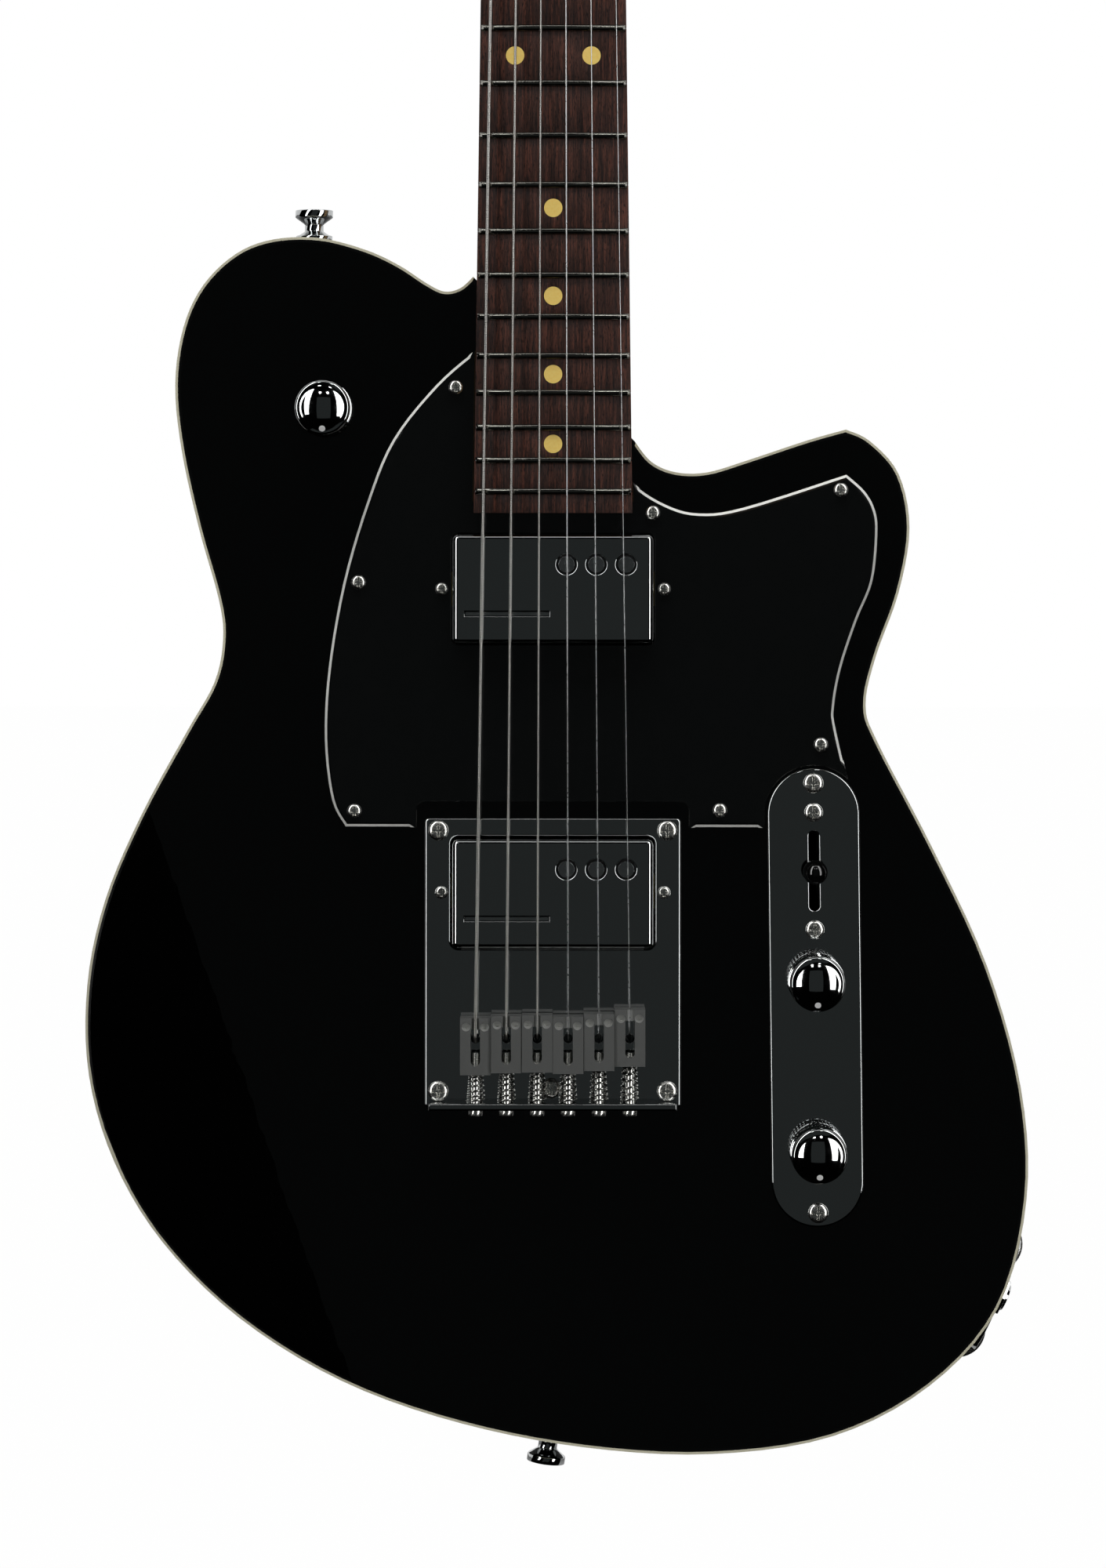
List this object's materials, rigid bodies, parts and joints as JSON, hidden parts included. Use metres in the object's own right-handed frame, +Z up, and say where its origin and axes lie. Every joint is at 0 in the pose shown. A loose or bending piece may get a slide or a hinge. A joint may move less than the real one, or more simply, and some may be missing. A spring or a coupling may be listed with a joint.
{
  "type": "electric guitar",
  "caption": "Solid-body electric guitar with a bound black top, bolt-on neck, covered pickups, plate bridge, selector switch and side-edge cable socket.",
  "frame": {"origin": "middle of the neck's thickness just above the nut, where a wall hook or hanger yoke carries the headstock", "axes": "+Z up along the strings from the bridge to the headstock, face towards -Y, +X to the right as seen from the front"},
  "size_m": [0.3312, 0.0658, 0.9845],
  "materials": {
    "lacquered_body": "gloss black lacquer",
    "cream_binding": "clear-coated cream plastic",
    "laminate_pickguard": "polished three-ply sheet with a white core",
    "maple": "satin clear coat",
    "rosewood": "oiled",
    "nickel_silver": "polished",
    "dot_inlay": "cream, polished",
    "bone": "polished bone",
    "steel": "plain",
    "nickel_screws": "nickel plate",
    "black_nickel": "black nickel plate, polished",
    "satin_metal": "satin dark plate",
    "pickup_parts": "moulded bobbins and steel poles",
    "black_plastic": "moulded",
    "pot_steel": "plain plate",
    "capacitor_coat": "dipped coating",
    "wire_cover": "insulated wire",
    "tuner_steel": "nickel plate"
  },
  "bodies": {
    "guitar": {"body": "lacquered_body", "binding": "cream_binding", "pickguard": "laminate_pickguard", "neck": "maple", "fingerboard": "rosewood", "frets": "nickel_silver", "inlay_dots": "dot_inlay", "nut": "bone", "truss_rod": "steel", "neck_screws": "nickel_screws", "neck_ferrules": "black_nickel", "strings": "steel", "string_ferrules": "black_nickel", "string_bar": "black_nickel", "bridge_plate": "black_nickel", "saddle_screws": "nickel_screws", "saddle_springs": "steel", "pickup_springs": "steel", "machine_screws": "nickel_screws", "control_plate": "black_nickel", "plate_screws": "nickel_screws", "small_screws": "nickel_screws", "switch_frame": "steel", "pot_housings": "pot_steel", "pot_nuts": "nickel_screws", "capacitor": "capacitor_coat", "wiring": "wire_cover", "output_jack": "pot_steel", "jack_plate": "black_nickel", "back_cover": "black_plastic", "strap_buttons": "black_nickel", "tuner_housings": "black_nickel", "tuner_bushings": "black_nickel"},
    "volume": {"volume_knob": "black_nickel"},
    "tone": {"tone_knob": "black_nickel"},
    "contour": {"contour_knob": "black_nickel"},
    "selector": {"switch_lever": "black_plastic"},
    "neck_pickup": {"neck_pickup_cover": "black_nickel", "neck_pickup_core": "pickup_parts"},
    "bridge_pickup": {"bridge_pickup_cover": "black_nickel", "bridge_pickup_core": "pickup_parts"},
    "saddle_block_1": {"saddle_1": "satin_metal"},
    "post_1": {"tuner_post_1": "tuner_steel"},
    "button_1": {"tuner_button_1": "black_nickel"},
    "saddle_block_2": {"saddle_2": "satin_metal"},
    "post_2": {"tuner_post_2": "tuner_steel"},
    "button_2": {"tuner_button_2": "black_nickel"},
    "saddle_block_3": {"saddle_3": "satin_metal"},
    "post_3": {"tuner_post_3": "tuner_steel"},
    "button_3": {"tuner_button_3": "black_nickel"},
    "saddle_block_4": {"saddle_4": "satin_metal"},
    "post_4": {"tuner_post_4": "tuner_steel"},
    "button_4": {"tuner_button_4": "black_nickel"},
    "saddle_block_5": {"saddle_5": "satin_metal"},
    "post_5": {"tuner_post_5": "tuner_steel"},
    "button_5": {"tuner_button_5": "black_nickel"},
    "saddle_block_6": {"saddle_6": "satin_metal"},
    "post_6": {"tuner_post_6": "tuner_steel"},
    "button_6": {"tuner_button_6": "black_nickel"}
  },
  "joints": [
    {"name": "volume_turn", "type": "hinge", "parent": "guitar", "child": "volume", "pos_m": [0.09192, -0.01675, -0.64875], "axis": [0, 1, 0], "range_deg": [0, 285]},
    {"name": "tone_turn", "type": "hinge", "parent": "guitar", "child": "tone", "pos_m": [0.09265, -0.01675, -0.70845], "axis": [0, 1, 0], "range_deg": [0, 285]},
    {"name": "contour_turn", "type": "hinge", "parent": "guitar", "child": "contour", "pos_m": [-0.0801, -0.01675, -0.449], "axis": [0, 1, 0], "range_deg": [0, 285]},
    {"name": "selector_throw", "type": "hinge", "parent": "guitar", "child": "selector", "pos_m": [0.09146, 0.01325, -0.61055], "axis": [0.9999, 0, 0.0122], "range_deg": [-22, 22]},
    {"name": "neck_pickup_height", "type": "slide", "parent": "guitar", "child": "neck_pickup", "axis": [0, -1, 0], "range_m": [-0.0015, 0.0015], "deforming": ["pickup_springs"]},
    {"name": "bridge_pickup_height", "type": "slide", "parent": "guitar", "child": "bridge_pickup", "axis": [0, -1, 0], "range_m": [-0.0015, 0.0015], "deforming": ["pickup_springs"]},
    {"name": "saddle_1_length", "type": "slide", "parent": "guitar", "child": "saddle_block_1", "axis": [0, 0, 1], "range_m": [-0.002, 0.002], "deforming": ["saddle_springs", "strings"]},
    {"name": "saddle_2_length", "type": "slide", "parent": "guitar", "child": "saddle_block_2", "axis": [0, 0, 1], "range_m": [-0.002, 0.002], "deforming": ["saddle_springs", "strings"]},
    {"name": "saddle_3_length", "type": "slide", "parent": "guitar", "child": "saddle_block_3", "axis": [0, 0, 1], "range_m": [-0.002, 0.002], "deforming": ["saddle_springs", "strings"]},
    {"name": "saddle_4_length", "type": "slide", "parent": "guitar", "child": "saddle_block_4", "axis": [0, 0, 1], "range_m": [-0.002, 0.002], "deforming": ["saddle_springs", "strings"]},
    {"name": "saddle_5_length", "type": "slide", "parent": "guitar", "child": "saddle_block_5", "axis": [0, 0, 1], "range_m": [-0.002, 0.002], "deforming": ["saddle_springs", "strings"]},
    {"name": "saddle_6_length", "type": "slide", "parent": "guitar", "child": "saddle_block_6", "axis": [0, 0, 1], "range_m": [-0.002, 0.002], "deforming": ["saddle_springs", "strings"]},
    {"name": "button_1_turn", "type": "hinge", "parent": "guitar", "child": "button_1", "pos_m": [-0.0255, 0.01205, 0.026], "axis": [-1, 0, 0], "continuous": true},
    {"name": "post_1_turn", "type": "hinge", "parent": "guitar", "child": "post_1", "pos_m": [-0.0255, -0.00725, 0.034], "axis": [0, -1, 0], "continuous": true},
    {"name": "button_2_turn", "type": "hinge", "parent": "guitar", "child": "button_2", "pos_m": [-0.0255, 0.01205, 0.064], "axis": [-1, 0, 0], "continuous": true},
    {"name": "post_2_turn", "type": "hinge", "parent": "guitar", "child": "post_2", "pos_m": [-0.0255, -0.00725, 0.072], "axis": [0, -1, 0], "continuous": true},
    {"name": "button_3_turn", "type": "hinge", "parent": "guitar", "child": "button_3", "pos_m": [-0.0255, 0.01205, 0.102], "axis": [-1, 0, 0], "continuous": true},
    {"name": "post_3_turn", "type": "hinge", "parent": "guitar", "child": "post_3", "pos_m": [-0.0255, -0.00725, 0.11], "axis": [0, -1, 0], "continuous": true},
    {"name": "button_4_turn", "type": "hinge", "parent": "guitar", "child": "button_4", "pos_m": [0.0255, 0.01205, 0.102], "axis": [1, 0, 0], "continuous": true},
    {"name": "post_4_turn", "type": "hinge", "parent": "guitar", "child": "post_4", "pos_m": [0.0255, -0.00725, 0.11], "axis": [0, -1, 0], "continuous": true},
    {"name": "button_5_turn", "type": "hinge", "parent": "guitar", "child": "button_5", "pos_m": [0.0255, 0.01205, 0.064], "axis": [1, 0, 0], "continuous": true},
    {"name": "post_5_turn", "type": "hinge", "parent": "guitar", "child": "post_5", "pos_m": [0.0255, -0.00725, 0.072], "axis": [0, -1, 0], "continuous": true},
    {"name": "button_6_turn", "type": "hinge", "parent": "guitar", "child": "button_6", "pos_m": [0.0255, 0.01205, 0.026], "axis": [1, 0, 0], "continuous": true},
    {"name": "post_6_turn", "type": "hinge", "parent": "guitar", "child": "post_6", "pos_m": [0.0255, -0.00725, 0.034], "axis": [0, -1, 0], "continuous": true}
  ],
  "couplings": [
    {"joint": "post_1_turn", "follows": "button_1_turn", "ratio": -0.066667},
    {"joint": "post_2_turn", "follows": "button_2_turn", "ratio": -0.066667},
    {"joint": "post_3_turn", "follows": "button_3_turn", "ratio": -0.066667},
    {"joint": "post_4_turn", "follows": "button_4_turn", "ratio": 0.066667},
    {"joint": "post_5_turn", "follows": "button_5_turn", "ratio": 0.066667},
    {"joint": "post_6_turn", "follows": "button_6_turn", "ratio": 0.066667}
  ]
}
